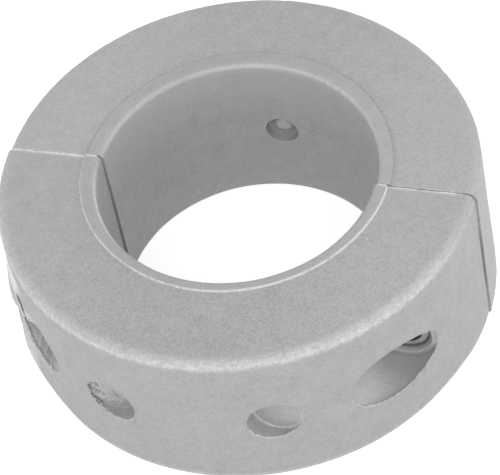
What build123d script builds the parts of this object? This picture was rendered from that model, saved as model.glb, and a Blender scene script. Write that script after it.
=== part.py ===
from build123d import *
import math
import os

os.makedirs("parts", exist_ok=True)

# A split zinc collar anode for a propeller shaft, in millimetres. Two cast half rings are
# drawn together on the shaft by two socket head cap screws, which pull on hexagon nuts
# cast into the rear half. The shaft's axis is +Z through the origin and the bottom face
# lies at Z 0. The halves meet at the plane Y 0, with the front half at -Y.

# ---- ring ----
shaft_diameter = 60.0
ring_thickness = 21.5
face_height = 39.5
split_gap = 0.3
outer_edge_radius = 2.0
foot_edge_radius = 0.5

# ---- low raised band round the bore, on the top face ----
band_width = 3.3
band_height = 0.5
bore_lip_radius = 1.4

# ---- round recesses left by pins of the mould, which is drawn along Y as the screws lie ----
wall_recess_diameter = 10.8
wall_recess_depth = 2.6
wall_recess_offset = 17.6
bore_recess_diameter = 7.4
bore_recess_depth = 1.8
bore_recess_rim_radius = 0.3

# ---- socket head cap screws, M6 x 30 ----
thread_diameter = 6.0
screw_length = 30.0
head_diameter = 10.0
head_height = 6.0
head_edge_chamfer = 0.6
socket_across_flats = 5.0
socket_depth = 3.0
tip_chamfer = 0.8

# ---- stepped screw holes of the front half ----
bore_wall = 6.1
screw_height = 19.0
screw_grip = 15.0
shank_clearance = 0.3
pocket_clearance = 0.3
pocket_chamfer = 0.7
head_sunk = 1.3
ledge_width = 1.25

# ---- hexagon nuts cast into the rear half, and the blind holes that pass them ----
nut_across_flats = 10.0
nut_height = 5.0
nut_depth = 5.0
nut_chamfer_angle = 30.0
thread_clearance = 0.04
blind_hole_spare = 1.5

# ---- worked out from the sizes above: ring ----
bore_radius = shaft_diameter / 2
outer_radius = bore_radius + ring_thickness
band_radius = bore_radius + band_width
overall_height = face_height + band_height
band_corner_radius = 0.4 * band_height
half_gap = split_gap / 2
wall_recess_floor_y = wall_recess_depth - math.sqrt(outer_radius**2 - wall_recess_offset**2)

# ---- worked out from the sizes above: screws, their holes and nuts ----
thread_radius = thread_diameter / 2
head_radius = head_diameter / 2
shank_hole_radius = thread_radius + shank_clearance
pocket_radius = head_radius + pocket_clearance
pocket_rim_radius = pocket_radius + pocket_chamfer
mouth_radius = pocket_rim_radius + ledge_width
screw_offset = bore_radius + bore_wall + shank_hole_radius
screw_places = {"left": -screw_offset, "right": screw_offset}
head_seat_y = -half_gap - screw_grip
head_face_y = head_seat_y - head_height
mouth_floor_y = head_face_y - head_sunk
screw_tip_y = head_seat_y + screw_length
blind_hole_end_y = screw_tip_y + blind_hole_spare
nut_near_y = half_gap + nut_depth
nut_far_y = nut_near_y + nut_height
nut_flat_radius = nut_across_flats / 2
nut_corner_radius = nut_across_flats / math.sqrt(3)
nut_chamfer = (nut_corner_radius - nut_flat_radius) * math.tan(math.radians(nut_chamfer_angle))
socket_corner_radius = socket_across_flats / math.sqrt(3)


def across_screw(x, y):
    """Plane square to the screws, at their height, with its normal towards the rear."""
    return Plane(origin=(x, y, screw_height), x_dir=(1, 0, 0), z_dir=(0, 1, 0))


def along_screw(x):
    """Axis of the screw at x, towards the rear."""
    return Axis((x, 0, screw_height), (0, 1, 0))


# ---- the whole ring, before it is parted into halves ----
with BuildPart() as whole_ring:
    with BuildSketch(Plane.XZ):
        with BuildLine():
            FilletPolyline(
                (bore_radius, 0),
                (outer_radius, 0),
                (outer_radius, face_height),
                (band_radius, face_height),
                (band_radius, overall_height),
                (bore_radius, overall_height),
                radius=[
                    foot_edge_radius,
                    foot_edge_radius,
                    outer_edge_radius,
                    band_corner_radius,
                    band_corner_radius,
                    bore_lip_radius,
                ],
                close=True,
            )
        make_face()
    revolve(axis=Axis.Z)

# ---- front half: stepped screw holes that break out through the wall, and its recesses ----
with BuildPart() as front_half:
    add(whole_ring.part)
    split(bisect_by=Plane.XZ.offset(half_gap), keep=Keep.TOP)
    for x in screw_places.values():
        with BuildSketch(Plane.XY.offset(screw_height)):
            with BuildLine():
                Polyline(
                    (x, 0),
                    (x + shank_hole_radius, 0),
                    (x + shank_hole_radius, head_seat_y),
                    (x + pocket_radius, head_seat_y),
                    (x + pocket_radius, mouth_floor_y + pocket_chamfer),
                    (x + pocket_rim_radius, mouth_floor_y),
                    (x + mouth_radius, mouth_floor_y),
                    (x + mouth_radius, -outer_radius),
                    (x, -outer_radius),
                    close=True,
                )
            make_face()
        revolve(axis=along_screw(x), mode=Mode.SUBTRACT)
    for x in (-wall_recess_offset, wall_recess_offset):
        with BuildSketch(across_screw(x, wall_recess_floor_y)):
            Circle(wall_recess_diameter / 2)
        extrude(amount=-outer_radius, mode=Mode.SUBTRACT)
front_half.part.label = "front_half"
export_step(front_half.part, "parts/front_half.step")

# ---- socket head cap screws, each with its head sunk in the pocket of its hole ----
for side, x in screw_places.items():
    with BuildPart() as screw:
        with BuildSketch(Plane.XY.offset(screw_height)):
            with BuildLine():
                Polyline(
                    (x, head_face_y),
                    (x + head_radius - head_edge_chamfer, head_face_y),
                    (x + head_radius, head_face_y + head_edge_chamfer),
                    (x + head_radius, head_seat_y),
                    (x + thread_radius, head_seat_y),
                    (x + thread_radius, screw_tip_y - tip_chamfer),
                    (x + thread_radius - tip_chamfer, screw_tip_y),
                    (x, screw_tip_y),
                    close=True,
                )
            make_face()
        revolve(axis=along_screw(x))
        with BuildSketch(across_screw(x, head_face_y)):
            RegularPolygon(radius=socket_corner_radius, side_count=6)
        extrude(amount=socket_depth, mode=Mode.SUBTRACT)
    screw.part.label = f"{side}_screw"
    export_step(screw.part, f"parts/{side}_screw.step")

# ---- hexagon nuts, with their corners turned down on both faces ----
nuts = {}
for side, x in screw_places.items():
    with BuildPart() as nut:
        with BuildSketch(across_screw(x, nut_near_y)):
            RegularPolygon(radius=nut_corner_radius, side_count=6)
            Circle(thread_radius + thread_clearance, mode=Mode.SUBTRACT)
        extrude(amount=nut_height)
        with BuildSketch(Plane.XY.offset(screw_height)):
            with BuildLine():
                Polyline(
                    (x, nut_near_y),
                    (x + nut_flat_radius, nut_near_y),
                    (x + nut_corner_radius, nut_near_y + nut_chamfer),
                    (x + nut_corner_radius, nut_far_y - nut_chamfer),
                    (x + nut_flat_radius, nut_far_y),
                    (x, nut_far_y),
                    close=True,
                )
            make_face()
        revolve(axis=along_screw(x), mode=Mode.INTERSECT)
    nut.part.label = f"{side}_nut"
    export_step(nut.part, f"parts/{side}_nut.step")
    nuts[side] = nut.part

# ---- rear half: cast round the nuts, with blind screw holes and a recess in its bore ----
with BuildPart() as rear_half:
    add(whole_ring.part)
    split(bisect_by=Plane.XZ.offset(-half_gap), keep=Keep.BOTTOM)
    for side, x in screw_places.items():
        add(nuts[side], mode=Mode.SUBTRACT)
        with BuildSketch(across_screw(x, 0)):
            Circle(shank_hole_radius)
        extrude(amount=blind_hole_end_y, mode=Mode.SUBTRACT)
    with BuildSketch(across_screw(0, bore_radius + bore_recess_depth)):
        Circle(bore_recess_diameter / 2)
    extrude(amount=-bore_radius, mode=Mode.SUBTRACT)
    recess_rim = rear_half.edges(Select.LAST).filter_by(GeomType.BSPLINE)
    fillet(recess_rim, bore_recess_rim_radius)
rear_half.part.label = "rear_half"
export_step(rear_half.part, "parts/rear_half.step")
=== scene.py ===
import math

import bmesh
import bpy
import numpy as np
from mathutils import Matrix, Vector, noise
from mathutils.geometry import tessellate_polygon


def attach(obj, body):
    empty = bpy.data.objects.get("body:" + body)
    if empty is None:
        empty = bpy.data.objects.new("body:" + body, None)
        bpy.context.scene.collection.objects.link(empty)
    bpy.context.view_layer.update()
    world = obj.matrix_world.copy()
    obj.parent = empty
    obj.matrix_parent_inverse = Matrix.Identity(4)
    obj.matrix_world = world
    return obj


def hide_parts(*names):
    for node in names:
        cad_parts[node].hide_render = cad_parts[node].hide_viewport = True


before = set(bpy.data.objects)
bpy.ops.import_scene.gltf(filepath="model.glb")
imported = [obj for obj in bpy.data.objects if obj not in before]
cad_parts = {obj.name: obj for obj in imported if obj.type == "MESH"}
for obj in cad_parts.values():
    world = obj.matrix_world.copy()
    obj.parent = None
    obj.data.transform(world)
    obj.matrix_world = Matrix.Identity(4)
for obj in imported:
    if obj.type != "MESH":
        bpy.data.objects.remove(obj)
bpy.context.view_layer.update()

# A split zinc collar anode. Everything is worked out in millimetres, in the frame of the
# part's source: the shaft's axis is Z, the halves meet at Y 0, the front half is at -Y.
MM = 0.001
UP = (0, 0, 1)

# ---- ring ----
BORE = 30.0
OUTER = 51.5
BAND = 33.3
FACE = 39.5
TOP = 40.0
HALF_GAP = 0.15
SLIP = 0.24             # how far each half has slipped along the split
BORE_FOOT_RADIUS = 0.5
OUTER_FOOT_RADIUS = 0.8
EDGE_RADIUS = 2.0
STEP_RADIUS = 0.2
LIP_RADIUS = 1.4

# ---- stepped screw holes, from the mouth in the wall down to the split ----
SCREW_X = 39.4
SCREW_Z = 19.0
MOUTH_TURN = 50.0       # from the front, in degrees
MOUTH = 7.25
LEDGE_Y = -22.45
POCKET_RIM = 6.0
POCKET = 5.3
POCKET_CHAMFER = 0.7
SEAT_Y = -15.15
SHANK_HOLE = 3.3
BLIND_END_Y = 16.35

# ---- screws and nuts ----
HEAD_Y = -21.15
HEAD_PROUD = 0.35
SOCKET_FLATS = 5.6
SOCKET_DEPTH = 3.2
TIP = 36.2              # from the face of the head, as the next two
KNURL_MIDDLE = 3.0
THREAD_START = 8.3
NUT_FLATS = 10.0
NUT_Y = (5.15, 10.15)

# ---- round recesses ----
WALL_RECESS = 5.4
WALL_RECESS_X = 17.6
WALL_RECESS_FLOOR_Y = -45.8
BORE_RECESS = 3.7
BORE_RECESS_DEPTH = 1.8
KNOB_TALL = 1.5
KNOB_MIDDLE = (0.3, 1.2)
KNOB_SIZE = (2.4, 2.3)


def roughness(points, size, seed):
    """Smooth noise from -1 to 1 at each point, with lumps about that size in millimetres."""
    shift = Vector((seed * 7.3, seed * 3.1, seed * 5.7))
    return np.array([noise.noise(Vector(p) / size + shift) for p in points])


def ramp(value, start, end):
    """0 before start, 1 after end, smooth between."""
    t = np.clip((np.asarray(value, float) - start) / (end - start), 0, 1)
    return t * t * (3 - 2 * t)


def fall(value, start, end):
    """1 before start, 0 after end, smooth between."""
    return 1 - ramp(value, start, end)


def bell(away, width):
    """1 where away is 0, and less on both sides of it."""
    return np.exp(-(away / width) ** 2)


def polar(co):
    """Each point's turn round the shaft in degrees, 0 at +X and -90 in front."""
    return np.degrees(np.arctan2(co[:, 1], co[:, 0]))


def from_shaft(co):
    """Each point's distance from the shaft's axis."""
    return np.hypot(co[:, 0], co[:, 1])


def from_pin(co, x):
    """Each point's distance from the line along Y at x, at the height of the screws."""
    return np.hypot(co[:, 0] - x, co[:, 2] - SCREW_Z)


def from_pins(co, x):
    """Each point's distance from the nearer of two such lines, at x and -x."""
    return np.hypot(np.abs(co[:, 0]) - x, co[:, 2] - SCREW_Z)


def in_scene(name, data):
    """A new object of that mesh, lamp or camera in the scene."""
    body = bpy.data.objects.new(name, data)
    bpy.context.scene.collection.objects.link(body)
    return body


def smooth_mesh(name, points, faces):
    """A mesh of those points in millimetres, its faces outwards and shaded smooth."""
    mesh = bpy.data.meshes.new(name)
    mesh.from_pydata((points * MM).tolist(), [], faces)
    work = bmesh.new()
    work.from_mesh(mesh)
    bmesh.ops.delete(work, geom=[v for v in work.verts if not v.link_faces], context="VERTS")
    bmesh.ops.recalc_face_normals(work, faces=work.faces)
    for f in work.faces:
        f.smooth = True
    work.to_mesh(mesh)
    work.free()
    return mesh


# ---------------- surfaces grown from rings

class Casting:
    """Points and faces of one closed surface, grown ring by ring."""

    def __init__(self):
        self.points = []
        self.size = 0
        self.faces = []

    def ring(self, points):
        """Adds points and gives their numbers."""
        points = np.asarray(points, float).reshape(-1, 3)
        self.points.append(points)
        self.size += len(points)
        return np.arange(self.size - len(points), self.size)

    def band(self, a, b):
        """Joins two rings that have the same number of points."""
        a2, b2 = np.roll(a, -1), np.roll(b, -1)
        self.faces += np.stack([a, a2, b2, b], 1).tolist()

    def tunnel(self, start, rings):
        """Joins ring after ring, and gives the last one."""
        for points in rings:
            new = self.ring(points)
            self.band(start, new)
            start = new
        return start

    def close(self, ring, centre):
        """Closes a ring with a fan to its centre."""
        middle = int(self.ring([centre])[0])
        for a, b in zip(ring.tolist(), np.roll(ring, -1).tolist()):
            self.faces.append([a, b, middle])

    def flat_end(self, outline, hole):
        """Closes a flat outline that has one hole in it."""
        every = np.concatenate(self.points)
        loops = [[Vector((p[0], p[2], 0)) for p in every[loop]] for loop in (outline, hole)]
        numbers = np.concatenate([outline, hole])
        self.faces += [numbers[list(t)].tolist() for t in tessellate_polygon(loops)]

    def piece(self, name, finish, slip):
        """The mesh object, its points weathered, marked for their finish, painted light and painted
        shade, and slipped along X.
        """
        mesh = smooth_mesh(name, np.concatenate(self.points), self.faces)
        sharp = bend(mesh)
        co, normal = vectors(mesh, "co") / MM, vectors(mesh, "normal")
        moved = cast_skin(co, normal) + np.array((slip, 0, 0))
        mesh.vertices.foreach_set("co", (moved * MM).ravel())
        mesh.update()
        turned = bend(mesh)
        wear = np.clip(sharp / 0.2, 0, 1) * 0.75 + np.clip(turned / 1.2, -0.4, 0.4)
        # painted shade in slits, pits, inner corners and gaps
        mark(mesh, "dirt", dirt(co, turned))
        mark(mesh, "worn", np.clip(wear, 0, 1) * wear_and_rim_highlight(co))
        # painted light in the shaded screw mouth and recesses
        mark(mesh, "clean", painted_light_in_hollows(co))
        # step: burrs, with painted highlights on the front band's step, the bore's lips and by the
        # holes
        mark(mesh, "step", np.maximum.reduce([on_step(co) * 0.9, on_split(co), painted_light_and_highlights(co)]))
        mesh.set_sharp_from_angle(angle=math.radians(38))
        mesh.materials.append(finish)
        return in_scene(name, mesh)


def vectors(mesh, what):
    """Places or normals of a mesh's points."""
    values = np.empty(len(mesh.vertices) * 3)
    mesh.vertices.foreach_get(what, values)
    return values.reshape(-1, 3)


def bend(mesh):
    """How sharply the surface turns at each point, per millimetre: above 0 on outer edges."""
    count = len(mesh.vertices)
    ends = np.empty(len(mesh.edges) * 2, int)
    mesh.edges.foreach_get("vertices", ends)
    a, b = ends[0::2], ends[1::2]
    co, normal = vectors(mesh, "co") / MM, vectors(mesh, "normal")
    along = co[b] - co[a]
    turn = ((normal[b] - normal[a]) * along).sum(1) / np.maximum((along ** 2).sum(1), 1e-3)
    share = np.bincount(a, minlength=count) + np.bincount(b, minlength=count)
    for _ in range(2):
        mean = (np.bincount(a, turn, count) + np.bincount(b, turn, count)) / np.maximum(share, 1)
        turn = (mean[a] + mean[b]) / 2
    return mean


def mark(mesh, name, values):
    """Keeps one number for each point of the mesh, for its material."""
    mesh.attributes.new(name, "FLOAT", "POINT").data.foreach_set("value", values)


def below(co, x, radius):
    """Nearness to a hole's rim in the wall, and how low on the rim, both 0 to 1."""
    away = from_pins(co, x)
    near = fall(np.abs(away - radius), 0.4, 1.2) * (co[:, 1] < -8)
    return near, 0.5 - 0.5 * (co[:, 2] - SCREW_Z) / np.maximum(away, 0.1)


def wear_and_rim_highlight(co):
    """How much of the wear at each edge shows as bright metal; on the rims of the holes only their
    lower side, a painted highlight.
    """
    radius, z = from_shaft(co), co[:, 2]
    front = ramp(-co[:, 1], -25, 30)
    top_edge = np.interp(z, [36.8, 37.6, 38.4, 39.2, 39.6], [0.75, 1.0, 1.0, 0.55, 0.25])
    corner = np.interp(polar(co), [-26, -6, 14], [1, 0.35, 0.5])
    share = np.where((z > 36.8) & (radius > 47), top_edge * (0.3 + 0.7 * front) * corner, 0.6)
    share = np.where(radius < 33.8, 0.1, share)
    # wear on the hole rims, with a painted highlight: only the lower side of each rim is made
    # bright
    for x, rim in ((SCREW_X, MOUTH), (WALL_RECESS_X, WALL_RECESS)):
        near, low = below(co, x, rim)
        share = share * (1 - near) + near * (0.05 + ramp(low, 0.45, 0.9))
    inside = (from_pins(co, WALL_RECESS_X) < 5.0) & (co[:, 1] < -40)
    return np.where(inside, 0.25, share)


def painted_light_in_hollows(co):
    """Painted light for shaded hollows: 1 in the right screw mouth as far as its ledge, less on the
    floors of the recesses and on the knob in the bore's recess.
    """
    radius = from_shaft(co)
    inside = ramp(OUTER - radius, 0.1, 0.5)
    mouth = fall(from_pin(co, SCREW_X), MOUTH + 0.02, MOUTH + 0.15) * (co[:, 1] < LEDGE_Y - 0.3)
    floor = from_pins(co, WALL_RECESS_X) < WALL_RECESS - 0.03
    floor = floor & (np.abs(co[:, 1] - WALL_RECESS_FLOOR_Y) < 1.2)
    (knob_x, knob_above), (knob_wide, knob_tall) = KNOB_MIDDLE, KNOB_SIZE
    on_knob = (co[:, 1] > 0) * (radius > BORE - 0.5) * (radius < BORE + 2) * (np.hypot(
        (co[:, 0] - knob_x) / knob_wide, (co[:, 2] - SCREW_Z - knob_above) / knob_tall) < 0.85)
    return np.maximum.reduce([mouth * inside, floor * np.where(co[:, 0] > 0, 0.3, 0.1),
                              on_knob * 0.2])


def painted_light_and_highlights(co):
    """Painted highlights by the left mouth, on the bore's lips and round the right recess's floor,
    and painted light on the left mouth's shaded walls."""
    radius = from_shaft(co)
    dx, dz = co[:, 0] + SCREW_X, co[:, 2] - SCREW_Z
    angle = np.arctan2(dz, dx)
    away = np.hypot(dx, dz) - mouth_outline(-1, angle)
    on_wall = ramp(radius, OUTER - 0.7, OUTER - 0.2) * (co[:, 1] < -15)
    rim = fall(np.abs(away - 1.3), 0.9, 2.3) * on_wall * np.interp(
        np.degrees(angle), [-178, -165, -120, -85, -60, 60, 75, 88, 125, 150],
        [0.4, 0.5, 0.3, 0.15, 0, 0, 0.15, 0.4, 0.4, 0.2])
    # painted light on the shaded walls inside the left mouth
    walls = (np.hypot(dx, dz) < MOUTH + 0.6) * (1 - on_wall) * (co[:, 0] < 0) * np.interp(
        co[:, 1], [-38, -33, -29, LEDGE_Y, LEDGE_Y + 0.5], [0, 0.2, 0.42, 0.42, 0])
    # painted highlight on the swollen wall beside the left mouth
    turn = -polar(co) + 2.0 * roughness(co, 3.0, 61)
    shore = on_wall * ramp(turn, 142.5, 147) * fall(turn, 155, 161) * np.interp(
        co[:, 2], [0.5, 3, 8, 12, 23.5, 26.5, 31, 35], [0.25, 0.5, 0.4, 0, 0, 0.8, 0.8, 0])
    on_lip = ramp(co[:, 2], 38.2, 38.8)
    front_lip = bell(radius - BORE - 0.3, 0.25) * on_lip
    front_lip = front_lip * np.interp(polar(co), [-178, -168, -152, -135, -118],
                                      [0, 0.5, 0.9, 0.6, 0])
    rear_lip = bell(radius - BORE - 0.25, 0.3) * on_lip
    rear_lip = rear_lip * np.interp(polar(co), [2, 15, 45, 90, 130], [0, 0.3, 0.4, 0.25, 0])
    floor_rim = fall(np.abs(from_pin(co, WALL_RECESS_X) - WALL_RECESS + 0.1), 0.12, 0.3) * 0.45
    floor_rim = floor_rim * fall(np.abs(co[:, 1] - WALL_RECESS_FLOOR_Y), 0.25, 0.45)
    return np.maximum.reduce([rim, walls, shore, front_lip, rear_lip, floor_rim])


def on_step(co):
    """1 on the step of the band on the front half's top face, 0 elsewhere."""
    away = np.abs(from_shaft(co) - BAND - 0.02)
    return fall(away, 0.03, 0.16) * ramp(co[:, 2], FACE - 0.1, FACE + 0.02) * (co[:, 1] < 0)


def dirt(co, turned):
    """Painted shade: 1 in the slits by the left mouth, less in the pits of the left recess, in
    inner corners, along the hidden step on the rear half, round the right screw's seat and in the
    right split, and the rear half's band a little darker.
    """
    radius, rear = from_shaft(co), co[:, 1] > 0
    pits = (from_pin(co, -WALL_RECESS_X) < 5.9) & (co[:, 1] < -42)
    share = np.where(pits, 0.6 * ramp(-co[:, 0] - WALL_RECESS_X, 2.4, 3.8), 0.12)
    on_lip = (radius < 36) & (co[:, 2] > 38)
    right_recess = (co[:, 0] > 0) & (co[:, 1] < -40)
    share = np.where(on_lip | right_recess, 0, share)
    # painted shade where the surface turns inwards
    corner = np.clip((-turned - 0.45) / 1.1, 0, 1) * share
    step = fall(np.abs(radius - BAND - 0.2), 0.15, 0.6) * rear
    step = step * 0.13 * ramp(co[:, 2], FACE - 0.1, FACE)
    seat = fall(np.abs(from_pin(co, SCREW_X) - 5.55), 0.3, 0.55) * 0.4
    seat = seat * (co[:, 1] > LEDGE_Y - 0.2) * (co[:, 1] < SEAT_Y + 0.5)
    split = bell(np.abs(co[:, 1]) - HALF_GAP, 0.15) * (co[:, 0] > 49.5) * (radius > 51)
    split = split * np.interp(co[:, 2], [2, 8, 14, 20, 26, 30, 38],
                              [0.25, 0.2, 0.42, 0.45, 0.35, 0.12, 0.08])
    band = (radius < BAND) * (radius > BORE + 0.8) * rear * ramp(co[:, 2], FACE, TOP)
    band = band * np.interp(polar(co), [60, 100, 165, 178], [0.01, 0.07, 0.07, 0.03])
    return np.maximum.reduce([corner, step, seat, split, band, np.minimum(1.9 * slits(co), 1)])


def on_split(co):
    """1 on the burrs that stand along the split on the top face."""
    front = co[:, 1] < 0
    beside = bell(np.abs(co[:, 1]) - HALF_GAP, 0.22) * ramp(co[:, 2], FACE - 0.25, FACE)
    left = (co[:, 0] < -BORE - 0.7) & front
    right = front * np.interp(co[:, 0], [30.5, 31, 35, 38, 43, 45, 48, 49.5],
                              [0, 1, 1, 0.6, 0.5, 1, 0.9, 0])
    return beside * np.where(left, 1.0, np.maximum(right, 0.1))


# ---------------- section of the ring

def run(a, b, step):
    """Points from a to b, a included and b left out, about step apart."""
    count = max(1, round(float(np.linalg.norm(b - a)) / step))
    return [a + (b - a) * k / count for k in range(count)]


def rounded(before, corner, after, radius, count):
    """Points of the arc that rounds a square corner."""
    corner = np.array(corner, float)
    u, v = (way / np.linalg.norm(way) for way in (before - corner, after - corner))
    middle = corner + (u + v) * radius
    turn = np.linspace(0, math.pi / 2, count + 1)
    return [middle - v * radius * math.cos(t) - u * radius * math.sin(t) for t in turn]


def ring_section():
    """The ring's section as (radius, height), from the bore's foot outwards and round."""
    corners = [(BORE, 0), (OUTER, 0), (OUTER, FACE), (BAND, FACE), (BAND, TOP), (BORE, TOP)]
    radii = [BORE_FOOT_RADIUS, OUTER_FOOT_RADIUS, EDGE_RADIUS, STEP_RADIUS, STEP_RADIUS, LIP_RADIUS]
    arc_steps = [4, 4, 14, 4, 4, 9]
    run_steps = [4.0, 0.6, 0.55, 0.1, 0.4, 1.3]
    before, after = corners[-1:] + corners[:-1], corners[1:] + corners[:1]
    arcs = [rounded(*each) for each in zip(before, corners, after, radii, arc_steps)]
    section = []
    for arc, next_arc, step in zip(arcs, arcs[1:] + arcs[:1], run_steps):
        section += arc[:-1] + run(arc[-1], next_arc[0], step)
    return np.array(section)


SECTION = ring_section()


END_PLACES = [0, 0.17, 0.43, 0.86, 1.4]
FIRST_PLACE, LAST_PLACE = 2.1, 177.4
STEP, CLOSE_STEP = 0.7, 0.43


def row_places(crowded):
    """Turns along a half ring in degrees, closer together at its ends and in the crowded spans."""
    places = [FIRST_PLACE]
    while places[-1] < LAST_PLACE:
        close = any(low < places[-1] < high for low, high in crowded)
        places.append(places[-1] + (CLOSE_STEP if close else STEP))
    return np.array(END_PLACES + places + [180 - t for t in END_PLACES[::-1]])


def half_ring(side, crowded=()):
    """A Casting with the half's grid of points. side is -1 at the front and 1 at the rear."""
    casting = Casting()
    r, z = SECTION[:, 0], SECTION[:, 1]
    start = np.arcsin(HALF_GAP / r)
    rows = []
    for place in row_places(crowded):
        turn = start + (math.pi - 2 * start) * place / 180
        if side < 0:
            turn = turn - math.pi
        rows.append(casting.ring(np.stack([r * np.cos(turn), r * np.sin(turn), z], 1)))
    return casting, np.array(rows)


def skin(casting, grid, windows):
    """Faces of the grid, apart from those inside the windows."""
    keep = np.ones((grid.shape[0] - 1, grid.shape[1]), bool)
    for i0, i1, j0, j1 in windows:
        keep[i0:i1, j0:j1] = False
    ahead = np.roll(grid, -1, axis=1)
    corners = (grid[:-1], grid[1:], ahead[1:], ahead[:-1])
    casting.faces += np.stack([numbers[keep] for numbers in corners], 1).tolist()


def window(casting, grid, radius, centre, size):
    """Grid lines that frame a hole in the wall of that radius, and the edge that they make.

    centre is the hole's turn in degrees, and size how far the window reaches to each side of
    it in degrees, and its lowest and highest Z. The edge is one ring: numbers, and each
    point's turn in radians and height. Last comes one angle for each, even round the hole.
    """
    half, z_low, z_high = size
    every = np.concatenate(casting.points)
    on_wall = [j for j in range(grid.shape[1]) if abs(SECTION[j, 0] - radius) < 1e-6
               and z_low <= SECTION[j, 1] <= z_high]
    j0, j1 = min(on_wall), max(on_wall)
    turns = polar(every[grid[:, j0]])
    within = [i for i, turn in enumerate(turns) if centre - half <= turn <= centre + half]
    i0, i1 = min(within), max(within)
    numbers = np.concatenate([grid[i0:i1, j0], grid[i1, j0:j1], grid[i1:i0:-1, j1],
                              grid[i0, j1:j0:-1]])
    edge = every[numbers]
    turn, z = np.arctan2(edge[:, 1], edge[:, 0]), edge[:, 2]
    sideways, above = ((v - (v.max() + v.min()) / 2) / (np.ptp(v) / 2) for v in (turn, z))
    return (i0, i1, j0, j1), (numbers, turn, z), np.arctan2(above, sideways)


def on_cylinder(radius, turn, z):
    return np.stack([radius * np.cos(turn), radius * np.sin(turn), z], 1)


LAPS = (0.72, 0.5, 0.33, 0.21, 0.13, 0.075)


def open_wall(casting, edge, radius, rim, drop, soft, burr, outward=1, laps=LAPS):
    """Lays the wall from a window's edge to a hole's rim, and rounds the rim into the hole.

    rim is each of its points' turn in radians and height, drop how far the hole's own wall
    runs on in Y from there, soft how far the rounding reaches and burr how high the metal is
    pushed up. laps are the rings of points between edge and rim, as shares of the way that is
    left.
    """
    ring, turn, z = edge
    rim_turn, rim_z = rim
    reach = np.hypot((turn - rim_turn) * radius, z - rim_z)

    def between(share):
        return on_cylinder(radius, rim_turn + (turn - rim_turn) * share,
                           rim_z + (z - rim_z) * share)

    ring = casting.tunnel(ring, [between(np.maximum(far, soft / reach * (1.15 + far)))
                                 for far in laps])
    a = between(soft / reach)
    corner = on_cylinder(radius, rim_turn, rim_z)
    inward = np.outer(np.broadcast_to(drop, reach.shape), (0, 1, 0))
    out = corner * np.array([1, 1, 0]) / radius * outward
    for s in (0, 0.2, 0.4, 0.6, 0.8, 1.0):
        points = (1 - s) ** 2 * a + 2 * s * (1 - s) * corner + s * s * (corner + inward)
        lift = np.broadcast_to(burr, reach.shape) * math.sin(math.pi * min(1.0, 0.15 + s)) ** 2
        ring = casting.tunnel(ring, [points + out * lift[:, None]])
    return ring


# ---------------- the front half's holes

def across(x, radius, angle, y):
    """Ring round a screw's axis at that y. radius and y may differ from point to point."""
    y = np.broadcast_to(y, angle.shape)
    return np.stack([x + radius * np.cos(angle), y, SCREW_Z + radius * np.sin(angle)], 1)


def rim_in_wall(rim):
    """Turns and heights of a rim that is carried along Y onto the outer wall, and its Y there."""
    y = -np.sqrt(OUTER ** 2 - rim[:, 0] ** 2)
    return (np.arctan2(y, rim[:, 0]), rim[:, 2]), y


def mouth_outline(side, angle):
    """How far the mouth's rim lies from the screw's axis, angle by angle.

    The right one is nearly round. On the left one the metal ran over the outer end in a thin
    web, and the foot of the rim has broken away a little.
    """
    degrees = np.degrees(angle)
    if side > 0:
        return MOUTH + 0.28 * np.sin(angle) + 0.2 * bell(degrees - 100, 45)
    turns = [-180, -140, -106, -90, -73, -64, -56, -47, -27, -8, 9, 26, 45, 60, 67, 76, 89, 110,
             139, 158, 180]
    reach = [6.4, 5.3, 5.7, 5.8, 6.5, 7.4, 7.8, 8.0, 7.8, 7.5, 7.4, 7.2, 7.3, 7.7, 7.6, 5.6, 4.1,
             3.2, 2.9, 4.6, 6.4]
    return np.interp(degrees, turns, reach)


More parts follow.
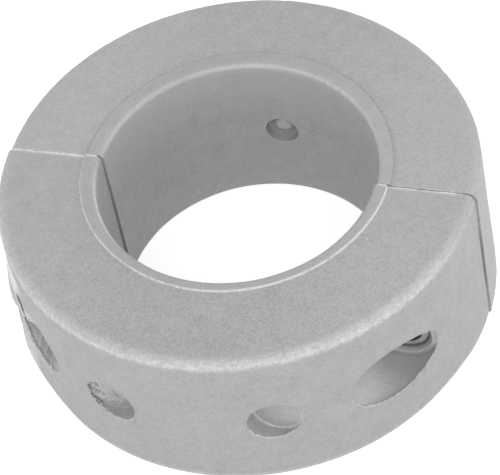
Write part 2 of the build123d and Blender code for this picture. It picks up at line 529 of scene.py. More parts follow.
def screw_hole(casting, grid, side):
    """The stepped hole, from its mouth in the wall to the split, and the window that it takes."""
    centre = -90 + side * MOUTH_TURN
    opening, edge, angle = window(casting, grid, OUTER, centre, (16.6, 8.2, 29.9))
    x = side * SCREW_X
    circle = across(x, MOUTH, angle, 0)
    ragged = roughness(circle, 0.9, 3) + 0.9 * roughness(circle, 0.42, 8)
    ledge_reach = math.sqrt(OUTER ** 2 - LEDGE_Y ** 2) - SCREW_X - 0.02
    towards_wall = np.maximum(np.cos(angle) * side, 1e-6)
    mouth = np.minimum(MOUTH, ledge_reach / towards_wall)
    low = 0.5 - 0.5 * np.sin(angle)
    smooth_reach = np.minimum(mouth_outline(side, angle), ledge_reach / towards_wall)
    uneven = 0.13 * low * ramp(np.cos(angle), -0.6, 0.4) if side > 0 else 0.2
    rim_reach = smooth_reach + ragged * uneven
    rim, rim_y = rim_in_wall(across(x, rim_reach, angle, 0))
    floor_y = np.maximum(LEDGE_Y, rim_y + 0.08)
    drop = np.minimum(0.25, (floor_y - rim_y) * 0.5)
    burr, laps = 0.04 + low * (0.08 + 0.14 * ragged), LAPS
    if side < 0:
        lower_far = ramp(-np.sin(angle), 0.3, 1) * ramp(-np.cos(angle), -0.3, 0.4)
        burr, laps = 0.05 + 0.12 * ragged + 0.3 * lower_far, np.linspace(0.95, 0.05, 24)
    ring = open_wall(casting, edge, OUTER, rim, drop, 0.2, burr, laps=laps)
    # below its rim the hole widens to its full size, but stays under the skin, and on the left
    # it stays narrow behind the spilt metal
    top_y = rim_y + drop
    spill = ramp(np.cos(angle + 2.1), 0.2, 0.7) if side < 0 else 0
    rings = []
    for share in np.arange(1, 27) / 26:
        widen = min(1.0, share * 9)
        y = top_y + (floor_y - top_y) * share
        under_skin = (np.sqrt(OUTER ** 2 - y ** 2) - SCREW_X - 0.3) / towards_wall
        full = np.where(rim_reach < mouth - 0.5, np.clip(under_skin, rim_reach, mouth), mouth)
        full = full + spill * (smooth_reach * (1 - 0.28 * share / 0.8) - full) * (share < 0.8)
        rings.append(across(x, rim_reach + (full - rim_reach) * widen, angle, y))
    # radius and Y of the rings from the mouth's floor to the split
    ledge = [(mouth + (POCKET_RIM + 0.12 - mouth) * s, floor_y + (LEDGE_Y - floor_y) * s)
             for s in (0.3, 0.62, 0.9)] + [(POCKET_RIM, LEDGE_Y + 0.03)]
    chamfer = [(POCKET_RIM - (POCKET_RIM - POCKET) * s, LEDGE_Y + POCKET_CHAMFER * s)
               for s in (0.35, 0.7, 0.95)]
    pocket = [(POCKET, y) for y in (LEDGE_Y + 0.85, -20.6, -19.5, -18.4, -17.3, -16.2, SEAT_Y)]
    shank = [(SHANK_HOLE, y) for y in (SEAT_Y + 0.2, -12.0, -8.0, -4.0, -HALF_GAP)]
    steps = ledge + chamfer + pocket + [(SHANK_HOLE + 0.2, SEAT_Y)] + shank
    rings += [across(x, radius, angle, y) for radius, y in steps]
    return casting.tunnel(ring, rings), opening


def recess_relief(side, dx, dz):
    """How far the recess floor stands up from flat: cold wrinkles and blow-holes on the left."""
    places = np.stack([dx, dz, dz * 0], 1)
    if side > 0:
        return 0.03 * roughness(places, 1.2, 11)
    height = 0.07 * roughness(places, 0.9, 12)
    for middle, reach, low, high, tall in (((0.2, 2.6), 2.0, -20, 200, 0.45),
                                           ((0.4, 1.6), 1.7, 215, 345, 0.38),
                                           ((2.4, -0.4), 2.4, 160, 262, 0.42)):
        u, v = dx - middle[0], dz - middle[1]
        turn = (np.degrees(np.arctan2(v, u)) - low) % 360
        ends = ramp(turn, 0, 18) * fall(turn, high - low - 18, high - low)
        height = height + tall * ends * bell(np.hypot(u, v) - reach, 0.3)
    for u, v, size, deep in ((-4.5, 2.0, 0.5, 1.0), (-3.9, 1.2, 0.45, 0.9),
                             (-4.7, -0.2, 0.5, 0.8), (-4.1, -1.3, 0.55, 1.1),
                             (-3.1, -0.8, 0.4, 0.9), (-2.9, -1.9, 0.5, 0.8),
                             (-0.6, 1.5, 0.45, 0.5)):
        height = height - deep * bell(np.hypot(dx - u, dz - v), size)
    return height


def wall_recess(casting, grid, side):
    """One of the round recesses in the front half's outer wall, with the window it takes.

    It runs along Y, as the mould's pin did, so its flat floor meets the wall at a slant.
    """
    centre = -90 + side * math.degrees(math.asin(WALL_RECESS_X / OUTER))
    opening, edge, angle = window(casting, grid, OUTER, centre, (10.2, 9.9, 28.2))
    x = side * WALL_RECESS_X
    rim = across(x, WALL_RECESS, angle, 0)
    ragged = roughness(rim, 0.8, 5) + 0.6 * roughness(rim, 0.35, 9)
    broken = ramp(-np.cos(angle), 0.2, 0.8) * (0.5 if side < 0 else 0.05)
    reach = WALL_RECESS * (1 + broken * (0.05 + 0.14 * ragged))
    rim, rim_y = rim_in_wall(across(x, reach, angle, 0))
    drop = np.minimum(0.35, 0.4 * (WALL_RECESS_FLOOR_Y - rim_y))
    burr = 0.05 + (0.06 + 0.05 * ragged) * (1 - np.sin(angle)) + broken * 0.3 * ragged
    ring = open_wall(casting, edge, OUTER, rim, drop, 0.24, burr)
    top_y = rim_y + drop
    floor = WALL_RECESS_FLOOR_Y
    rings = [across(x, WALL_RECESS, angle, top_y + (floor - 0.12 - top_y) * k / 6)
             for k in range(1, 7)]
    rings.append(across(x, WALL_RECESS * 0.99, angle, floor - 0.03))
    for share in np.linspace(0.97, 0.03, 26):
        flat = across(x, WALL_RECESS * share, angle, floor)
        flat[:, 1] -= recess_relief(side, flat[:, 0] - x, flat[:, 2] - SCREW_Z)
        rings.append(flat)
    casting.close(casting.tunnel(ring, rings), (x, floor, SCREW_Z))
    return opening


# ---------------- weathering of the castings

def swell(turn, z, turns, shares, heights, reach):
    """A swelling of the wall: a share by turn round the shaft, times a reach by height."""
    return np.interp(turn, turns, shares) * np.interp(z, heights, reach)


def slits(co):
    """1 in the slits that are left open where the metal ran over the left mouth, 0 elsewhere."""
    turn, z = polar(co), co[:, 2]
    open_share = 0
    for at, high, wide, tall, share in (
            (-145.0, 25.2, 1.5, 1.0, 1.0), (-143.7, 23.8, 1.0, 1.3, 1.0),
            (-142.5, 22.9, 0.6, 0.6, 0.8), (-142.1, 21.9, 0.5, 0.6, 0.7)):
        aside = (turn - at) * math.pi / 180 * OUTER
        away = (aside / wide) ** 2 + ((z - high) / tall) ** 2
        open_share = np.maximum(open_share, share * bell(away, 1))
    return open_share * ramp(from_shaft(co), OUTER - 0.8, OUTER - 0.2) * (co[:, 1] < 0)


def cast_skin(co, normal):
    """Moves the points of a casting: slow unevenness all over, the battered outer edge of the
    top face, the swollen walls, the slits, the burrs and the gape of the right split."""
    radius, turn, z = from_shaft(co), polar(co), co[:, 2]
    front = co[:, 1] < 0
    slow = 0.036 * roughness(co, 9.0, 1) + 0.016 * roughness(co, 2.6, 2)

    edge = ramp(radius, OUTER - 3.8, OUTER - 1.4) * ramp(z, FACE - 3.8, FACE - 1.6)
    along = np.stack([turn * math.pi / 180 * OUTER, radius / 4.5, z / 4.5], 1)
    dents = 0.12 * roughness(co, 1.5, 4) + 0.12 * roughness(co, 4.2, 6)
    dents = dents + 0.06 * roughness(co, 0.7, 7) + 0.17 * roughness(along, 1.0, 15)
    worn = 0.35 + 0.65 * ramp(-co[:, 1], -20, 25)
    move = slow + edge * worn * (dents - 0.05)

    left = swell(turn, z, [-177, -166, -156, -151, -144, -138, -132, -124],
                 [0, 0.6, 1, 0.9, 0.42, 0.06, -0.1, 0],
                 [0, 1.1, 2.5, 3.9, 4.8, 5.6, 7, 8.1, 9.5, 10.9, 12.1, 13.3, 14.4, 16.5, 18.0, 19.5,
                  21, 24.7, 27, 29, 31, 33],
                 [0.9, 1.45, 1.65, 1.6, 0.95, 0.65, 0.5, 0.35, 0.6, 1.2, 1.2, 0.55, 0.2, 0.5, 1.3,
                  1.6, 1.4, 0.95, 0.5, -0.15, -0.35, 0])
    right = swell(turn, z, [-16, -6, 3, 12, 22, 40], [0, 0.5, 0.6, 0.9, 1.0, 0],
                  [0, 5, 10, 20, 35, 39], [0.85, 0.85, 0.7, 0.4, 0.15, 0])
    foot = swell(turn, z, [-105, -80, -40, -22, -12], [0, 0.4, 1, 1, 0], [0, 4, 10], [0.42, 0.2, 0])
    lean = swell(turn, z, [25, 40, 60, 75], [0, 1, 1, 0], [25, 39], [0, 0.3])
    out = ramp(radius, 47.5, 50.5) * (left * front + right - foot * front - lean * ~front)
    out = out - 0.5 * slits(co)

    near_step = np.interp(radius, [31.2, BAND - 0.5, BAND + 0.5, 36], [0, 1, 1, 0])
    drift = np.where(front, np.interp(turn, [-180, -170, -150, -135, -120, -60, -30, -8],
                                      [0.15, 0.15, -0.15, -0.5, -0.7, -0.7, -0.55, -0.3]),
                     np.interp(turn, [0, 20, 50, 90, 130, 180], [-0.2, -0.2, 0.3, 0.7, 0.6, 0.4]))
    out = near_step * ramp(z, 39.2, 39.4) * drift + out

    ragged = np.maximum(0.5 + roughness(co, 0.8, 13) + 0.7 * roughness(co, 0.35, 14), 0)
    step = on_step(co) * np.interp(turn, [-180, -150, -60, -10], [0.2, 0.2, 0.12, 0.05])
    burrs = on_split(co)
    moved = co + normal * move[:, None] + co * np.array([1, 1, 0]) / radius[:, None] * out[:, None]
    moved[:, 2] += (burrs * 0.24 + step) * ragged
    moved[:, 1] += burrs * (co[:, 0] < -BORE) * 0.16
    gape = ramp(radius, OUTER - 0.6, OUTER - 0.1) * (co[:, 0] > 50) * np.interp(
        z, [3, 9, 20, 27, 34], [0, 0.1, 0.16, 0.3, 0.12])
    moved[:, 1] -= gape * bell(co[:, 1] + HALF_GAP, 0.25)
    moved[:, 2] = np.maximum(moved[:, 2], 0)
    return moved


# ---------------- materials

class Graph:
    """Short way to build a tree of nodes."""

    def __init__(self, tree):
        self.tree = tree
        tree.nodes.clear()

    def node(self, kind, *in_order, settings=None, at=None, **by_name):
        """Adds a node, links or sets its inputs in order, at their numbers or by name, and gives
        its outputs."""
        n = self.tree.nodes.new(kind)
        for key, value in (settings or {}).items():
            setattr(n, key, value)
        feeds = list(zip(in_order, n.inputs))
        feeds += [(value, n.inputs[number]) for number, value in (at or {}).items()]
        feeds += [(value, n.inputs[name.replace("_", " ")]) for name, value in by_name.items()]
        for value, target in feeds:
            for source in value if isinstance(value, list) else [value]:
                if hasattr(source, "links"):
                    self.tree.links.new(source, target)
                else:
                    target.default_value = source
        return n.outputs

    def maths(self, kind, a, b, clamp=False):
        return self.node("ShaderNodeMath", a, b,
                         settings={"operation": kind, "use_clamp": clamp})[0]

    def times(self, a, b, clamp=False):
        return self.maths("MULTIPLY", a, b, clamp)

    def limits(self, value, low, high, to_low=0.0, to_high=1.0):
        """The value's way from low to high, turned into one from to_low to to_high."""
        return self.node("ShaderNodeMapRange", value, low, high, to_low, to_high)["Result"]


class Finish(Graph):
    """Short way to build one procedural material."""

    def __init__(self, name):
        self.material = bpy.data.materials.new(name)
        self.material.use_nodes = True
        super().__init__(self.material.node_tree)
        self.place = self.node("ShaderNodeTexCoord")["Object"]

    def noise(self, scale, detail=3.0, rough=0.55):
        return self.node("ShaderNodeTexNoise", Vector=self.place, Scale=scale, Detail=detail,
                         Roughness=rough)["Fac"]

    def grain(self, scale, detail, rough, low, high, to_low=0.0, to_high=1.0):
        """Noise with its contrast raised."""
        return self.limits(self.noise(scale, detail, rough), low, high, to_low, to_high)

    def kept(self, name):
        """A number kept for each point of the mesh."""
        return self.node("ShaderNodeAttribute", settings={"attribute_name": name})["Fac"]

    def layers(self, base, *layers):
        """The base colour with greys laid over it, each by its share."""
        for share, colour in layers:
            base = self.node("ShaderNodeMix", share, settings={"data_type": "RGBA"},
                             at={6: base, 7: grey(colour)})[2]
        return base

    def bump(self, height, distance, strength, **under):
        return self.node("ShaderNodeBump", Height=height, Distance=distance, Strength=strength,
                         **under)["Normal"]

    def end(self, shader):
        """The material, with that shader on its surface."""
        self.node("ShaderNodeOutputMaterial", Surface=shader)
        return self.material

    def metal(self, **sockets):
        return self.end(self.node("ShaderNodeBsdfPrincipled", **sockets)[0])


def grey(v):
    return (v, v, v, 1)


def cast_zinc(name, tone):
    """Dull cast zinc: mottled grey with a sandy grain, and brighter metal where it is worn, with
    painted light, painted highlights and painted shade laid into its colour.

    Lengths are in metres here, and scales of noise per metre.
    """
    n = Finish(name)
    x, y, z = n.node("ShaderNodeSeparateXYZ", n.place)
    top = n.limits(z, 0.0388, 0.0393)
    # painted light: the top face is made lighter towards its left and right ends
    sides = n.limits(n.maths("ABSOLUTE", x, 0.0), 0.014, 0.036, 0.0, 0.1)
    slant = n.maths("SUBTRACT", y, n.times(x, 0.4))
    on_top = n.times(top, n.limits(slant, 0.002, -0.034, -0.15, 0.85))
    in_bore = n.limits(n.maths("ADD", n.times(x, x), n.times(y, y)), 0.00094, 0.00092)
    # painted light: the bore is made lighter towards its top, where more light reaches it
    painted_light_high_in_bore = n.times(n.limits(z, 0.024, 0.038), in_bore)

    sandy = n.times(n.limits(on_top, 0.0, 1.0, 0.38, 0.62),
                    n.limits(in_bore, 0.0, 1.0, 1.0, 0.55))
    sand = n.times(n.grain(3000, 2, 0.6, 0.40, 0.60), sandy)
    coarse = n.times(n.grain(1250, 4, 0.7, 0.42, 0.58), n.limits(on_top, 0.0, 1.0, 0.16, 0.26))
    blotch = n.times(n.grain(60, 3, 0.5, 0.35, 0.65), 0.3)
    specks = n.times(n.grain(1500, 2, 0.5, 0.62, 0.7), 0.25)
    # painted light: a lighter grey in the upper bore and in the shaded screw mouth and recesses
    clean = n.maths("MAXIMUM", n.times(painted_light_high_in_bore, 0.55), n.kept("clean"), clamp=True)
    rubbed = n.limits(n.grain(1300, 5, 0.8, 0.38, 0.58), 0.0, 1.0, 0.35, 1.1)
    wear = n.kept("worn")
    worn = n.times(wear, rubbed, clamp=True)
    scraped = n.times(wear, n.grain(2600, 2, 0.6, 0.5, 0.62), clamp=True)
    # the step mark: bright burrs along the split and the band's step, with painted highlights on
    # the step, the bore's lips and round the holes
    burr = n.times(n.kept("step"), n.grain(700, 3, 0.55, 0.32, 0.5, 0.4, 1.0), clamp=True)
    # Of these layers, the lighter sides of the top face and the lighter upper bore and hollows are
    # painted light, the step mark brings painted highlights, and the last, near-black layer is
    # painted shade.
    base = n.layers(grey(0.385 * tone), (n.grain(230, 5, 0.62, 0.3, 0.7), 0.465 * tone),
                    (blotch, 0.42 * tone), (sand, 0.645 * tone), (coarse, 0.60 * tone),
                    (n.times(top, sides), 0.9), (specks, 0.30 * tone), (clean, 0.58 * tone),
                    (worn, 0.73), (n.times(scraped, 0.22), 0.95), (burr, 0.95),
                    (n.kept("dirt"), 0.07))

    grain = n.bump(n.noise(1900, 3, 0.7), 0.00015, 0.9)
    pores = n.bump(n.noise(620, 4, 0.65), 0.00019, 0.65, Normal=grain)
    scales = n.bump(n.times(n.noise(1000, 3, 0.7), wear), 0.00035, 0.8, Normal=pores)
    return n.metal(Base_Color=base, Metallic=0.35, Normal=scales,
                   Roughness=n.grain(700, 3, 0.55, 0.3, 0.7, 0.5, 0.66))


def bright_zinc():
    """Fresh zinc on scratches, burrs and crumbs."""
    n = Finish("bright_zinc")
    base = n.layers(grey(0.66), (n.grain(1500, 3, 0.55, 0.35, 0.65), 0.86))
    return n.metal(Base_Color=base, Metallic=0.4, Normal=n.bump(n.noise(3000, 2), 0.00003, 0.5),
                   Roughness=n.grain(2500, 2, 0.55, 0.3, 0.7, 0.34, 0.5))


def dark_steel(name, tone):
    """Oiled dark steel with a thin film of dirt."""
    n = Finish(name)
    base = n.layers(grey(tone), (n.grain(500, 4, 0.6, 0.35, 0.65), tone * 1.5))
    return n.metal(Base_Color=base, Metallic=0.6, Normal=n.bump(n.noise(1800, 3), 0.00003, 0.5),
                   Roughness=n.grain(900, 3, 0.55, 0.3, 0.7, 0.32, 0.5))


# The rear half's copy is lighter in tone than the front's: painted light for the brighter top of
# the rear half.
FRONT_ZINC = cast_zinc("front_zinc", 0.99)
REAR_ZINC_PAINTED_LIGHTER = cast_zinc("rear_zinc", 1.06)
BRIGHT_ZINC = bright_zinc()
SCREW_STEEL = dark_steel("screw_steel", 0.42)
# painted shade: a near-black copy of the steel for the faces inside the hex socket
SOCKET_PAINTED_SHADE = dark_steel("socket_steel", 0.05)
NUT_STEEL = dark_steel("nut_steel", 0.3)

# ---------------- front half

ROUGH_SPANS = ((14, 76), (123, 157))
casting, grid = half_ring(-1, ROUGH_SPANS)
left_end, left_mouth = screw_hole(casting, grid, -1)
right_end, right_mouth = screw_hole(casting, grid, 1)
recesses = [wall_recess(casting, grid, side) for side in (-1, 1)]
skin(casting, grid, [left_mouth, right_mouth] + recesses)
casting.flat_end(grid[0], left_end)
casting.flat_end(grid[-1], right_end)
front_casting = casting.piece("front_casting", FRONT_ZINC, -SLIP)

# ---------------- rear half


def hexagon(across_flats, angle):
    """How far the sides of a hexagon lie from its middle, angle by angle."""
    return across_flats / 2 / np.cos(angle % (math.pi / 3) - math.pi / 6)


def nut_hole(casting, side):
    """The blind hole of one screw with the nut's hexagonal seat in it."""
    x = side * SCREW_X
    angle = np.linspace(0, 2 * math.pi, 96, endpoint=False)
    start = casting.ring(across(x, SHANK_HOLE, angle, HALF_GAP))
    flats = hexagon(NUT_FLATS, angle)
    near, far = NUT_Y
    rings = [across(x, radius, angle, y) for radius, y in (
        (SHANK_HOLE, near), (flats, near), (flats, far), (SHANK_HOLE, far),
        (SHANK_HOLE, BLIND_END_Y))]
    casting.close(casting.tunnel(start, rings), (x, BLIND_END_Y, SCREW_Z))
    return start


def knob(x, above):
    """How far the floor of the bore's recess swells out, at x and that far above its middle."""
    u, v = ((at - middle) / size for at, middle, size in zip((x, above), KNOB_MIDDLE, KNOB_SIZE))
    return KNOB_TALL * bell(u ** 2 + v ** 2, 1)


def bore_recess(casting, grid):
    """The small round recess halfway up the rear half's bore, with the window it takes."""
    opening, edge, angle = window(casting, grid, BORE, 90, (11.5, 12.8, 25.2))
    sideways, above = BORE_RECESS * np.cos(angle), BORE_RECESS * np.sin(angle)
    rim = math.pi / 2 + np.arcsin(sideways / BORE), SCREW_Z + above
    ring = open_wall(casting, edge, BORE, rim, 0.3, 0.28, 0.02, outward=-1)
    wall_at = np.sqrt(BORE ** 2 - sideways ** 2)
    floor_at = BORE + BORE_RECESS_DEPTH

    side = [(1.0, wall_at + 0.3 + (floor_at - 0.45 - wall_at) * k / 3) for k in (1, 2, 3)]
    foot = [(0.97, floor_at - 0.03), (0.9, floor_at)]
    floor = [(s, floor_at - knob(-sideways * s, above * s)) for s in np.linspace(0.85, 0.05, 12)]
    rings = [across(0, BORE_RECESS * s, math.pi - angle, y) for s, y in side + foot + floor]
    casting.close(casting.tunnel(ring, rings), (0, floor_at - knob(0, 0), SCREW_Z))
    return opening


casting, grid = half_ring(1)
right_seat = nut_hole(casting, 1)
left_seat = nut_hole(casting, -1)
skin(casting, grid, [bore_recess(casting, grid)])
casting.flat_end(grid[0], right_seat)
casting.flat_end(grid[-1], left_seat)
rear_casting = casting.piece("rear_casting", REAR_ZINC_PAINTED_LIGHTER, SLIP)

for piece, node in ((front_casting, "front_half"), (rear_casting, "rear_half")):
    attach(piece, "root")
    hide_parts(node)

for node in ("left_nut", "right_nut"):
    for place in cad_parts[node].material_slots:
        place.material = NUT_STEEL

# ---------------- cap screws

class Growth(Graph):
    """Short way to build one Geometry Nodes tree with named sizes."""

    def __init__(self, name, sizes):
        group = bpy.data.node_groups.new(name, "GeometryNodeTree")
        super().__init__(group)
        group.is_modifier = True
        face = group.interface
        face.new_socket("Geometry", in_out="INPUT", socket_type="NodeSocketGeometry")
        self.keys = {}
        for size, value in sizes.items():
            kind = {int: "Int", float: "Float", tuple: "Vector"}[type(value)]
            socket = face.new_socket(size, in_out="INPUT", socket_type="NodeSocket" + kind)
            self.keys[size] = (socket.identifier, value)
        face.new_socket("Geometry", in_out="OUTPUT", socket_type="NodeSocketGeometry")
        self.inputs = self.node("NodeGroupInput")

    def finish(self, result, material=None):
        """Ends the tree with its instances made real, and its material where one is given."""
        result = self.node("GeometryNodeRealizeInstances", result)[0]
        if material:
            result = self.node("GeometryNodeSetMaterial", result, Material=material)[0]
        self.node("NodeGroupOutput", result)

    def grow(self, body, name):
        """The plain mesh object that the tree makes from body, which is left as it is."""
        modifier = body.modifiers.new(name, "NODES")
        modifier.node_group = self.tree
        for key, value in self.keys.values():
            modifier[key] = value
        bpy.context.view_layer.update()
        mesh = bpy.data.meshes.new_from_object(body.evaluated_get(
            bpy.context.evaluated_depsgraph_get()))
        body.modifiers.remove(modifier)
        mesh.name = name
        return in_scene(name, mesh)


def screw_core():
    """A socket head cap screw without knurl or thread, its head's face at Z 0, its tip up."""
    core = Casting()
    angle = np.linspace(0, 2 * math.pi, 72, endpoint=False)

    def ring(radius, z):
        return np.stack([radius * np.cos(angle), radius * np.sin(angle), np.full(72, float(z))], 1)

    flats = hexagon(SOCKET_FLATS, angle + math.pi / 6)
    start = core.ring(ring(flats * 0.97, SOCKET_DEPTH))
    core.close(start, (0, 0, SOCKET_DEPTH + 0.9))
    # radius and height of every ring
    socket = [(flats, SOCKET_DEPTH - 0.1), (flats, 0.4), (np.maximum(flats, 3.0), 0.15)]
    head = [(3.4, 0.0), (3.6, 0.0), (4.3, 0.0), (4.42, 0.02), (4.72, 0.16), (4.86, 0.42),
            (4.86, 5.9), (4.8, 6.25), (4.7, 6.35), (3.3, 6.35)]
    shank = [(3.02, 6.5), (2.98, 7.5), (2.5, 8.1), (2.5, 35.4), (1.9, TIP)]
    core.close(core.tunnel(start, [ring(*each) for each in socket + head + shank]), (0, 0, TIP))
    mesh = smooth_mesh("screw_core", np.concatenate(core.points), core.faces)
    for face in mesh.polygons:
        x, y, z = face.center / MM
        # the faces inside the socket take the second slot, the painted shade
        face.material_index = int(math.hypot(x, y) < 3.35 and 0.02 < z < 4.5)
    mesh.set_sharp_from_angle(angle=math.radians(30))
    mesh.materials.append(SCREW_STEEL)
    mesh.materials.append(SOCKET_PAINTED_SHADE)
    return in_scene("screw_core", mesh)


def knurl_and_thread(place, turned):
    """Tree that adds the knurls round the head and the thread's ridge, and lays the screw down."""
    t = Growth("knurl_and_thread", {
        "Knurls": 64, "Knurl Radius": 4.87 * MM, "Knurl Length": 4.9 * MM, "Knurl Width": 0.3 * MM,
        "Thread Radius": 2.62 * MM, "Ridge": 0.42 * MM, "Pitch": 1.0 * MM, "Thread Turns": 27.0,
        "Place": place, "Turned": turned})
    sizes = t.inputs
    around = t.node("GeometryNodeMeshCircle", Vertices=sizes["Knurls"],
                    Radius=sizes["Knurl Radius"])[0]
    width, length = sizes["Knurl Width"], sizes["Knurl Length"]
    bar = t.node("GeometryNodeMeshCube",
                 t.node("ShaderNodeCombineXYZ", width, width, length)[0])["Mesh"]
    facing = t.node("FunctionNodeAlignRotationToVector", settings={"axis": "X"},
                    Vector=t.node("GeometryNodeInputPosition")[0])[0]
    knurls = t.node("GeometryNodeInstanceOnPoints", around, Instance=bar, Rotation=facing)[0]
    knurls = t.node("GeometryNodeTransform", knurls, Translation=(0, 0, KNURL_MIDDLE * MM))[0]
    radius, turns = sizes["Thread Radius"], sizes["Thread Turns"]
    helix = t.node("GeometryNodeCurveSpiral", Resolution=30, Rotations=turns, Start_Radius=radius,
                   End_Radius=radius, Height=t.times(sizes["Pitch"], turns))[0]
    helix = t.node("GeometryNodeSetCurveNormal", helix, settings={"mode": "Z_UP"})[0]
    ridge = t.node("GeometryNodeCurvePrimitiveCircle", Resolution=4, Radius=sizes["Ridge"])[0]
    thread = t.node("GeometryNodeCurveToMesh", Curve=helix, Profile_Curve=ridge, Fill_Caps=True)[0]
    thread = t.node("GeometryNodeTransform", thread, Translation=(0, 0, THREAD_START * MM))[0]
    added = t.node("GeometryNodeJoinGeometry", [knurls, thread])[0]
    added = t.node("GeometryNodeSetMaterial", added, Material=SCREW_STEEL)[0]
    whole = t.node("GeometryNodeJoinGeometry", [added, sizes["Geometry"]])[0]
    spin = t.node("ShaderNodeCombineXYZ", Z=sizes["Turned"])[0]
    whole = t.node("GeometryNodeTransform", whole, Rotation=spin)[0]
    whole = t.node("GeometryNodeTransform", whole, Rotation=(-math.pi / 2, 0, 0),
                   Translation=sizes["Place"])[0]
    t.finish(whole)
    return t


for side, node, turned in ((-1, "left_screw", 0.9), (1, "right_screw", 0.5236)):
    core = screw_core()
    place = (side * SCREW_X * MM, (HEAD_Y - HEAD_PROUD) * MM, SCREW_Z * MM)
    screw = knurl_and_thread(place, turned).grow(core, node.replace("screw", "cap_screw"))
    bpy.data.objects.remove(core)
    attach(screw, "root")
    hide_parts(node)

# ---------------- crumbs, scratches and specks

CRUMBS_PER_SQUARE_METRE = 22000.0


def crumbs(name, casting, seed):
    """Tiny crumbs of zinc left on a casting's skin."""
    t = Growth(name, {"Density": CRUMBS_PER_SQUARE_METRE, "Smallest": 0.05 * MM,
                      "Largest": 0.14 * MM, "Seed": seed})
    points = t.node("GeometryNodeDistributePointsOnFaces", t.inputs["Geometry"],
                    Density=t.inputs["Density"], Seed=t.inputs["Seed"])
    ball = t.node("GeometryNodeMeshIcoSphere", 1.0, 1)[0]
    reach = t.node("FunctionNodeRandomValue", Seed=t.inputs["Seed"],
                   at={2: t.inputs["Smallest"], 3: t.inputs["Largest"]})[1]
    squash = t.node("ShaderNodeCombineXYZ", reach, reach, t.times(reach, 0.5))[0]
    result = t.node("GeometryNodeInstanceOnPoints", points[0], Instance=ball,
                    Rotation=points["Rotation"], Scale=squash)[0]
    t.finish(result, BRIGHT_ZINC)
    return t.grow(casting, name)


def on_top(radius, degrees):
    """A place on the top face, radius and turn given."""
    a = math.radians(degrees)
    return radius * math.cos(a), radius * math.sin(a), FACE


def scratch(piece, points, width, seed):
    """Adds a thin uneven burr along a scratch to the piece, as a flattened tube."""
    points = np.array(points, float)
    marks = np.linspace(0, 1, max(8, int(np.linalg.norm(points[-1] - points[0]) / 0.35)))
    ends = np.linspace(0, 1, len(points))
    line = np.stack([np.interp(marks, ends, points[:, k]) for k in range(3)], 1)
    line = line + 0.06 * np.stack([roughness(line, 1.4, seed), roughness(line, 1.4, seed + 1),
                                   line[:, 0] * 0], 1)
    thick = width * np.clip(0.55 + roughness(line, 1.0, seed + 2), 0.1, 1.2) * np.sqrt(
        np.clip(4 * marks * (1 - marks), 0.01, 1))
    ahead = np.gradient(line, axis=0)
    aside = np.cross(ahead, UP)
    aside = aside / np.linalg.norm(aside, axis=1)[:, None]
    turns = np.linspace(0, 2 * math.pi, 6, endpoint=False)
    rings = [middle + np.outer(np.cos(turns) * w, side) + np.outer(np.sin(turns) * w / 2, UP)
             for middle, side, w in zip(line, aside, thick)]
    start = piece.ring(rings[0])
    piece.close(start, line[0])
    piece.close(piece.tunnel(start, rings[1:]), line[-1])


def scratches():
    """The scratches and larger specks that stand out on the top face, most on the front half."""
    lines = [(0.07, (35.25, -79.1), (35.9, -73.1), (37.7, -67.6)),
             (0.07, (39.1, -72.8), (41.9, -68.8), (45.0, -65.4)),
             (0.09, (35.3, -88.0), (35.2, -82.0)),
             (0.05, (36.4, -76.0), (38.6, -73.5)),
             (0.14, (41.0, -147.0), (40.6, -145.6)),
             (0.13, (35.3, -139.8), (34.9, -138.6)),
             (0.16, (42.4, -35.0), (42.3, -34.2)),
             (0.17, (35.3, 114.6), (35.15, 112.4)),
             (0.12, (34.0, 79.6), (33.8, 78.2))]
    whole = Casting()
    for seed, (width, *places) in enumerate(lines):
        scratch(whole, [on_top(*place) for place in places], width, 20 + 3 * seed)
    mesh = smooth_mesh("scratches", np.concatenate(whole.points), whole.faces)
    mesh.materials.append(BRIGHT_ZINC)
    return in_scene("scratches", mesh)


for piece in (crumbs("front_crumbs", front_casting, 3), crumbs("rear_crumbs", rear_casting, 8),
              scratches()):
    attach(piece, "root")

# ---------------- floor, light and camera

def pale_floor():
    """A pale floor that looks white to the camera and in reflections, and shows soft shadows."""
    mesh = bpy.data.meshes.new("floor")
    far = 3.0
    mesh.from_pydata([(-far, -far, 0), (far, -far, 0), (far, far, 0), (-far, far, 0)], [],
                     [(0, 1, 2, 3)])
    n = Finish("pale_floor")
    lit = n.node("ShaderNodeBsdfDiffuse", Color=grey(0.66))[0]
    glow = n.node("ShaderNodeEmission", Color=grey(1.0), Strength=0.72)[0]
    path = n.node("ShaderNodeLightPath")
    seen = n.maths("MAXIMUM", path["Is Camera Ray"], path["Is Glossy Ray"])
    both = n.node("ShaderNodeAddShader", lit, glow)[0]
    mesh.materials.append(n.end(n.node("ShaderNodeMixShader", seen, lit, both)[0]))
    floor = in_scene("floor", mesh)


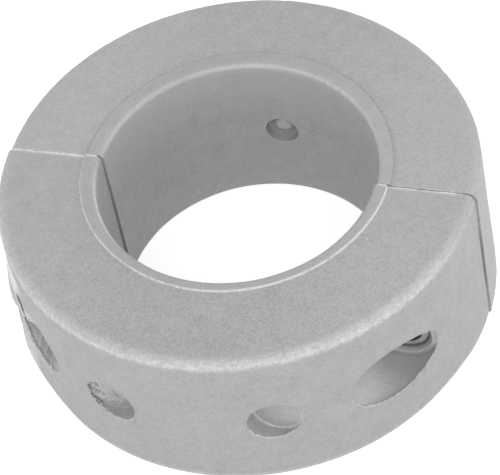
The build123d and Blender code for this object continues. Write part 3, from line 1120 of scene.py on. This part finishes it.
def surround(strength):
    """An even surround, white to the camera and of that strength to every other ray."""
    world = bpy.data.worlds.new("surround")
    bpy.context.scene.world = world
    world.use_nodes = True
    n = Graph(world.node_tree)
    level = n.limits(n.node("ShaderNodeLightPath")["Is Camera Ray"], 0.0, 1.0, strength, 1.0)
    light = n.node("ShaderNodeBackground", grey(1.0), level)[0]
    n.node("ShaderNodeOutputWorld", Surface=light)


def seen_from(turn, height):
    """The way towards a viewer at that turn and height, both in radians."""
    return Vector((math.sin(turn) * math.cos(height), -math.cos(turn) * math.cos(height),
                   math.sin(height)))


def soft_light(name, turn, height, distance, size, power):
    """A square soft light that looks at the ring's middle.

    turn is 0 in front and 90 at +X, in degrees as height is; distance and size are in metres
    and power is in watts.
    """
    lamp = bpy.data.lights.new(name, "AREA")
    lamp.energy = power
    lamp.size = size
    back = seen_from(math.radians(turn), math.radians(height))
    place = Matrix.Translation(back * distance + Vector((0, 0, 0.02)))
    in_scene(name, lamp).matrix_world = place @ back.to_track_quat("Z", "Y").to_matrix().to_4x4()


def look_from(turn, height, roll, distance, aside, above, lens, centre):
    """The camera, turn and height and roll in radians, distances in outer radii."""
    unit = OUTER * MM
    back = seen_from(turn, height)
    right = Vector((math.cos(turn), math.sin(turn), 0))
    up = back.cross(right)
    c, s = math.cos(roll), math.sin(roll)
    x_axis = right * c + up * s
    y_axis = up * c - right * s
    place = (back * distance - x_axis * aside - y_axis * above) * unit + Vector(centre)
    data = bpy.data.cameras.new("camera")
    data.lens = lens
    data.sensor_width = 36
    body = in_scene("camera", data)
    body.matrix_world = Matrix(list(zip(x_axis, y_axis, back, place)) + [(0, 0, 0, 1)])
    bpy.context.scene.camera = body


pale_floor()
surround(0.70)
for lamp in (("key", 20, 50, 1.2, 0.45, 2.0), ("front_box", 5, 24, 1.2, 0.5, 1.15),
             ("left_box", -70, 18, 1.0, 0.6, 0.45), ("right_box", 105, 18, 1.0, 0.6, 1.45)):
    soft_light(*lamp)
look_from(turn=0.3995, height=0.8656, roll=-0.2045, distance=11.9815, aside=0.0502,
          above=-0.2143, lens=199.73, centre=(SLIP * MM, 0, 0))
bpy.context.scene.view_settings.view_transform = "Standard"
